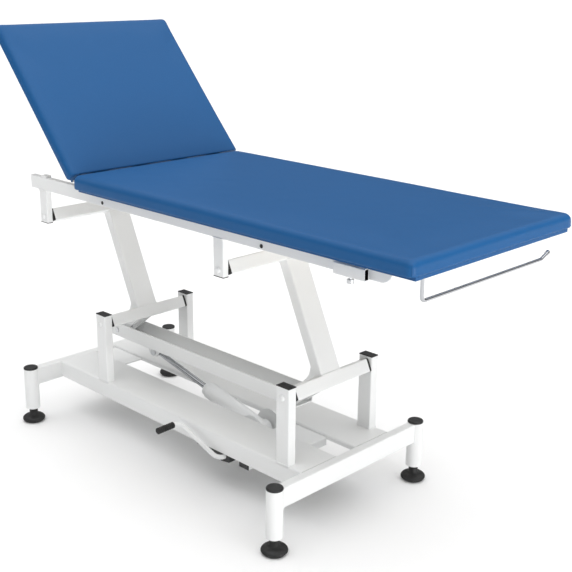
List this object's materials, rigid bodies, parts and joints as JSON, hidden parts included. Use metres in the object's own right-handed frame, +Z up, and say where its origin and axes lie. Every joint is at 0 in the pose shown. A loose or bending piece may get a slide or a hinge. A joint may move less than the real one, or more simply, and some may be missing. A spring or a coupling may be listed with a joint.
{
  "type": "hydraulic examination couch",
  "caption": "Examination couch with a tilting backrest on a flat tubular base, raised by two parallel arms and a foot-pumped hydraulic cylinder.",
  "frame": {"origin": "On the floor, under the middle of the couch's length and width.", "axes": "+X points to the foot end, along the couch's length. +Z is up. +Y points to the far side, so the pedal is on the -Y side."},
  "size_m": [1.6832, 0.6836, 1.3499],
  "materials": {
    "white_paint": "smooth white powder coat",
    "blue_vinyl": "blue upholstery vinyl, satin",
    "black_plastic": "black moulded plastic",
    "black_rubber": "black rubber",
    "zinc_steel": "zinc-plated steel",
    "chrome": "polished chrome",
    "plywood": "plain plywood"
  },
  "bodies": {
    "base": {"base_rail_near": "white_paint", "base_rail_far": "white_paint", "cross_member_head": "white_paint", "cross_member_foot": "white_paint", "corner_posts_head": "white_paint", "corner_posts_foot": "white_paint", "upright_head_near": "white_paint", "upright_head_far": "white_paint", "upright_foot_near": "white_paint", "upright_foot_far": "white_paint", "base_caps": "black_plastic", "lower_pivot_bolts": "zinc_steel", "tie_plate": "white_paint", "pump_plate": "white_paint", "crossbeam": "white_paint", "cylinder_ears": "white_paint", "pedal_bearing": "black_rubber"},
    "head_arm": {"head_arm_lower_tube": "white_paint", "head_arm_upper_tube": "white_paint", "head_arm_column": "white_paint", "head_arm_levers": "white_paint", "head_arm_plugs": "black_plastic"},
    "foot_arm": {"foot_arm_lower_tube": "white_paint", "foot_arm_upper_tube": "white_paint", "foot_arm_column": "white_paint", "foot_arm_levers": "white_paint", "foot_arm_plugs": "black_plastic"},
    "channel": {"link_channel": "white_paint", "channel_pins": "zinc_steel"},
    "piston": {"piston_rod": "chrome"},
    "cylinder": {"cylinder_tube": "white_paint"},
    "pedal": {"pedal_crank": "white_paint", "pedal_grip": "black_rubber"},
    "bed": {"bed_rail_near": "white_paint", "bed_rail_far": "white_paint", "bed_cross_tube_hinge": "white_paint", "bed_cross_tube_foot": "white_paint", "brackets_head": "white_paint", "brackets_foot": "white_paint", "bracket_caps": "black_plastic", "upper_pivot_bolts": "zinc_steel", "seat_board": "plywood", "seat_pad": "blue_vinyl", "accessory_sleeve": "white_paint", "rail_buffers": "black_rubber", "hinge_leaves_seat": "zinc_steel", "paper_roll_bar": "chrome"},
    "backrest": {"backrest_board": "plywood", "backrest_pad": "blue_vinyl", "hinge_leaves_backrest": "zinc_steel", "strut_bracket": "zinc_steel"},
    "strut_lower": {"strut_tube": "zinc_steel"},
    "strut_upper": {"strut_rod": "chrome"},
    "screw": {"clamp_screw": "black_plastic"},
    "foot_head_near": {"levelling_foot_head_near": "black_rubber"},
    "foot_head_far": {"levelling_foot_head_far": "black_rubber"},
    "foot_foot_near": {"levelling_foot_foot_near": "black_rubber"},
    "foot_foot_far": {"levelling_foot_foot_far": "black_rubber"}
  },
  "joints": [
    {"name": "lift", "type": "hinge", "parent": "base", "child": "head_arm", "pos_m": [-0.541, 0, 0.3928], "axis": [0, 1, 0], "range_deg": [-52, 6]},
    {"name": "foot_lift", "type": "hinge", "parent": "base", "child": "foot_arm", "pos_m": [0.3038, 0, 0.3928], "axis": [0, 1, 0], "range_deg": [-52, 6]},
    {"name": "bed_level", "type": "hinge", "parent": "head_arm", "child": "bed", "pos_m": [-0.69963, 0, 0.7425], "axis": [0, 1, 0], "range_deg": [-6, 52]},
    {"name": "channel_level", "type": "hinge", "parent": "head_arm", "child": "channel", "pos_m": [-0.65604, 0, 0.30679], "axis": [0, 1, 0], "range_deg": [-6, 52]},
    {"name": "rod_swing", "type": "hinge", "parent": "channel", "child": "piston", "pos_m": [-0.4861, 0, 0.26379], "axis": [0, 1, 0], "range_deg": [-5.6, 0.8]},
    {"name": "cylinder_stroke", "type": "slide", "parent": "piston", "child": "cylinder", "axis": [0.9744, 0, -0.2248], "range_m": [-0.1195, 0.0142]},
    {"name": "backrest_tilt", "type": "hinge", "parent": "bed", "child": "backrest", "pos_m": [-0.4391, 0, 0.9148], "axis": [0, 1, 0], "range_deg": [-48.7, 16.3]},
    {"name": "strut_swing", "type": "hinge", "parent": "bed", "child": "strut_lower", "pos_m": [-0.4591, 0, 0.8548], "axis": [0, 1, 0], "range_deg": [-46.6, 15.8]},
    {"name": "strut_stroke", "type": "slide", "parent": "strut_lower", "child": "strut_upper", "axis": [-0.6949, 0, 0.7191], "range_m": [-0.0508, 0.0172]},
    {"name": "pedal_press", "type": "hinge", "parent": "base", "child": "pedal", "pos_m": [0.0549, 0, 0.124], "axis": [0, 1, 0], "range_deg": [-22, 0], "stiffness_Nm_per_rad": 4, "springref_deg": 20.05},
    {"name": "screw_travel", "type": "slide", "parent": "bed", "child": "screw", "axis": [0, 0, 1], "range_m": [0, 0.0045]},
    {"name": "level_head_near", "type": "slide", "parent": "base", "child": "foot_head_near", "axis": [0, 0, -1], "range_m": [0, 0.02]},
    {"name": "level_head_far", "type": "slide", "parent": "base", "child": "foot_head_far", "axis": [0, 0, -1], "range_m": [0, 0.02]},
    {"name": "level_foot_near", "type": "slide", "parent": "base", "child": "foot_foot_near", "axis": [0, 0, -1], "range_m": [0, 0.02]},
    {"name": "level_foot_far", "type": "slide", "parent": "base", "child": "foot_foot_far", "axis": [0, 0, -1], "range_m": [0, 0.02]}
  ],
  "couplings": [
    {"joint": "foot_lift", "follows": "lift", "ratio": 1},
    {"joint": "bed_level", "follows": "lift", "ratio": -1},
    {"joint": "channel_level", "follows": "lift", "ratio": -1},
    {"joint": "rod_swing", "follows": "lift", "ratio": 0.10434},
    {"joint": "cylinder_stroke", "follows": "lift", "m_per_rad": 0.13043},
    {"joint": "strut_swing", "follows": "backrest_tilt", "ratio": 0.9517},
    {"joint": "strut_stroke", "follows": "backrest_tilt", "m_per_rad": 0.05933}
  ]
}
